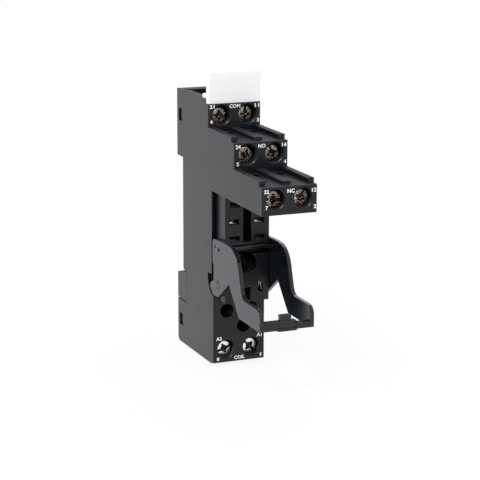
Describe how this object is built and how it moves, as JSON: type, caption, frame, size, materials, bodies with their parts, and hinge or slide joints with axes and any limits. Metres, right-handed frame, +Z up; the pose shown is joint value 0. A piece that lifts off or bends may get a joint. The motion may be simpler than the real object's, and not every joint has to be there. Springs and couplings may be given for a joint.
{
  "type": "relay socket",
  "caption": "Narrow rail-mount socket for a plug-in relay: stepped screw terminals above a slotted seat, coil terminals below, and a swinging lever that holds and ejects the relay.",
  "frame": {"origin": "middle of the rail seat, in the plane where the socket's back rests on the front of the rail's flanges", "axes": "+X to the right across the socket (along the rail), +Y from the front towards the wall behind the rail, +Z up"},
  "size_m": [0.0162, 0.0654, 0.0865],
  "materials": {
    "housing_plastic": "fine matt texture",
    "cover_plastic": "fine matt texture",
    "lever_plastic": "satin",
    "marker_plastic": "smooth",
    "spring_steel": "drawn wire",
    "screw_steel": "dark passivated",
    "coil_screw_steel": "bright zinc",
    "clamp_steel": "zinc plated",
    "contact_alloy": "stamped, tin plated"
  },
  "bodies": {
    "base": {"housing": "housing_plastic", "rear_cover": "cover_plastic", "marker_plate": "marker_plastic", "latch_spring": "spring_steel", "contact_11": "contact_alloy", "contact_12": "contact_alloy", "contact_14": "contact_alloy", "contact_21": "contact_alloy", "contact_22": "contact_alloy", "contact_24": "contact_alloy", "contact_a1": "contact_alloy", "contact_a2": "contact_alloy"},
    "latch": {"rail_latch": "lever_plastic"},
    "lever": {"retaining_lever": "lever_plastic"},
    "screw_11": {"screw_11": "screw_steel"},
    "clamp_11": {"clamp_11": "clamp_steel"},
    "screw_12": {"screw_12": "screw_steel"},
    "clamp_12": {"clamp_12": "clamp_steel"},
    "screw_14": {"screw_14": "screw_steel"},
    "clamp_14": {"clamp_14": "clamp_steel"},
    "screw_21": {"screw_21": "screw_steel"},
    "clamp_21": {"clamp_21": "clamp_steel"},
    "screw_22": {"screw_22": "screw_steel"},
    "clamp_22": {"clamp_22": "clamp_steel"},
    "screw_24": {"screw_24": "screw_steel"},
    "clamp_24": {"clamp_24": "clamp_steel"},
    "screw_a1": {"screw_a1": "coil_screw_steel"},
    "clamp_a1": {"clamp_a1": "clamp_steel"},
    "screw_a2": {"screw_a2": "coil_screw_steel"},
    "clamp_a2": {"clamp_a2": "clamp_steel"}
  },
  "joints": [
    {"name": "lever_pivot", "type": "hinge", "parent": "base", "child": "lever", "pos_m": [0, -0.02905, -0.01495], "axis": [1, 0, 0], "range_deg": [0, 25]},
    {"name": "latch_slide", "type": "slide", "parent": "base", "child": "latch", "axis": [0, 0, -1], "range_m": [0, 0.0025], "stiffness_N_per_m": 600, "springref_m": -0.002, "deforming": ["latch_spring"]},
    {"name": "screw_11_turn", "type": "hinge", "parent": "base", "child": "screw_11", "pos_m": [0.00405, -0.0172, 0.0328], "axis": [0, 1, 0], "range_deg": [0, 1584.5]},
    {"name": "clamp_11_slide", "type": "slide", "parent": "base", "child": "clamp_11", "axis": [0, -1, 0], "range_m": [0, 0.0022]},
    {"name": "screw_12_turn", "type": "hinge", "parent": "base", "child": "screw_12", "pos_m": [0.00405, -0.0566, 0.01585], "axis": [0, 1, 0], "range_deg": [0, 1584.5]},
    {"name": "clamp_12_slide", "type": "slide", "parent": "base", "child": "clamp_12", "axis": [0, -1, 0], "range_m": [0, 0.0022]},
    {"name": "screw_14_turn", "type": "hinge", "parent": "base", "child": "screw_14", "pos_m": [0.00405, -0.0369, 0.02465], "axis": [0, 1, 0], "range_deg": [0, 1584.5]},
    {"name": "clamp_14_slide", "type": "slide", "parent": "base", "child": "clamp_14", "axis": [0, -1, 0], "range_m": [0, 0.0022]},
    {"name": "screw_21_turn", "type": "hinge", "parent": "base", "child": "screw_21", "pos_m": [-0.00405, -0.0172, 0.0328], "axis": [0, 1, 0], "range_deg": [0, 1584.5]},
    {"name": "clamp_21_slide", "type": "slide", "parent": "base", "child": "clamp_21", "axis": [0, -1, 0], "range_m": [0, 0.0022]},
    {"name": "screw_22_turn", "type": "hinge", "parent": "base", "child": "screw_22", "pos_m": [-0.00405, -0.0566, 0.01585], "axis": [0, 1, 0], "range_deg": [0, 1584.5]},
    {"name": "clamp_22_slide", "type": "slide", "parent": "base", "child": "clamp_22", "axis": [0, -1, 0], "range_m": [0, 0.0022]},
    {"name": "screw_24_turn", "type": "hinge", "parent": "base", "child": "screw_24", "pos_m": [-0.00405, -0.0369, 0.02465], "axis": [0, 1, 0], "range_deg": [0, 1584.5]},
    {"name": "clamp_24_slide", "type": "slide", "parent": "base", "child": "clamp_24", "axis": [0, -1, 0], "range_m": [0, 0.0022]},
    {"name": "screw_a1_turn", "type": "hinge", "parent": "base", "child": "screw_a1", "pos_m": [0.00405, -0.0212, -0.0363], "axis": [0, 1, 0], "range_deg": [0, 1584.5]},
    {"name": "clamp_a1_slide", "type": "slide", "parent": "base", "child": "clamp_a1", "axis": [0, -1, 0], "range_m": [0, 0.0022]},
    {"name": "screw_a2_turn", "type": "hinge", "parent": "base", "child": "screw_a2", "pos_m": [-0.00405, -0.0212, -0.0363], "axis": [0, 1, 0], "range_deg": [0, 1584.5]},
    {"name": "clamp_a2_slide", "type": "slide", "parent": "base", "child": "clamp_a2", "axis": [0, -1, 0], "range_m": [0, 0.0022]}
  ],
  "couplings": [
    {"joint": "screw_11_turn", "follows": "clamp_11_slide", "rad_per_m": 12566},
    {"joint": "screw_12_turn", "follows": "clamp_12_slide", "rad_per_m": 12566},
    {"joint": "screw_14_turn", "follows": "clamp_14_slide", "rad_per_m": 12566},
    {"joint": "screw_21_turn", "follows": "clamp_21_slide", "rad_per_m": 12566},
    {"joint": "screw_22_turn", "follows": "clamp_22_slide", "rad_per_m": 12566},
    {"joint": "screw_24_turn", "follows": "clamp_24_slide", "rad_per_m": 12566},
    {"joint": "screw_a1_turn", "follows": "clamp_a1_slide", "rad_per_m": 12566},
    {"joint": "screw_a2_turn", "follows": "clamp_a2_slide", "rad_per_m": 12566}
  ]
}
